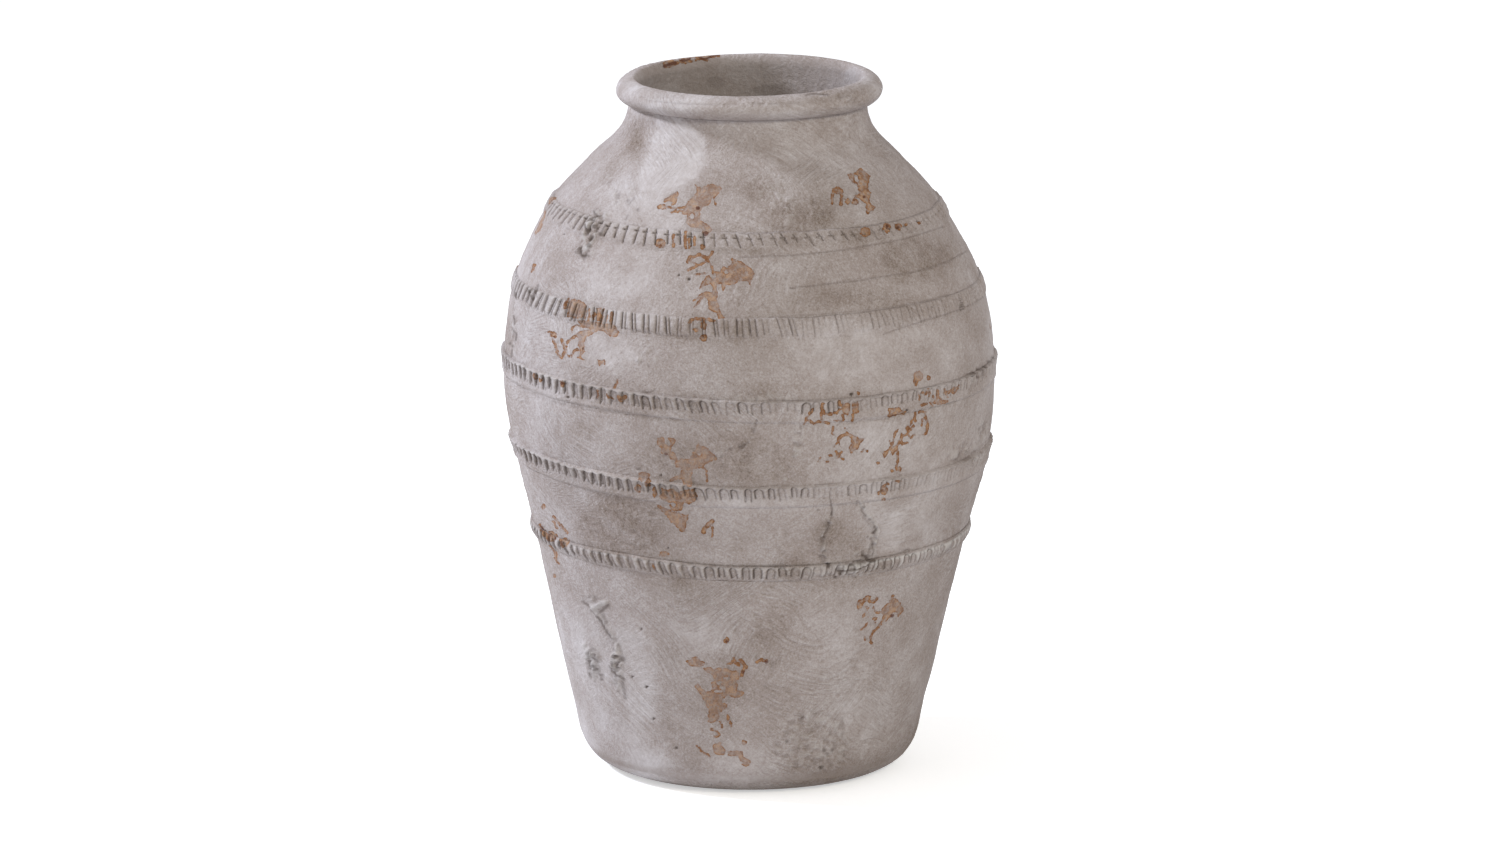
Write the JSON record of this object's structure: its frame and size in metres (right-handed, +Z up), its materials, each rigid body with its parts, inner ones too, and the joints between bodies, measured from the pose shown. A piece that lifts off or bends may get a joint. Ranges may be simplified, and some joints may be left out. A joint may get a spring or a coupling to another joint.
{
  "type": "terracotta jar",
  "caption": "Round-bellied terracotta storage jar with a rolled rim, a wide mouth and notched clay bands over its wall joints, finished in worn chalky lime wash.",
  "frame": {"origin": "centre of the jar's underside, on the floor", "axes": "+Z up along the jar's axis, out of its mouth; +X to the right and +Y away from the viewer, as the jar stands in the picture"},
  "size_m": [0.3338, 0.334, 0.47],
  "materials": {
    "wall_wash": "matte, chalky lime wash over fired clay, worn through to the clay in patches",
    "band_wash": "matte lime wash, thinner on the crests and dusty in the notches",
    "rim_wash": "matte lime wash, rubbed at the lip",
    "base_clay": "matte bare fired clay"
  },
  "bodies": {
    "root": {"base_slab": "base_clay", "foot_course": "wall_wash", "lower_belly_course": "wall_wash", "belly_course": "wall_wash", "upper_belly_course": "wall_wash", "shoulder_course": "wall_wash", "neck_course": "wall_wash", "rim_coil": "rim_wash", "foot_band": "band_wash", "lower_belly_band": "band_wash", "belly_band": "band_wash", "upper_belly_band": "band_wash", "shoulder_band": "band_wash"}
  },
  "joints": []
}
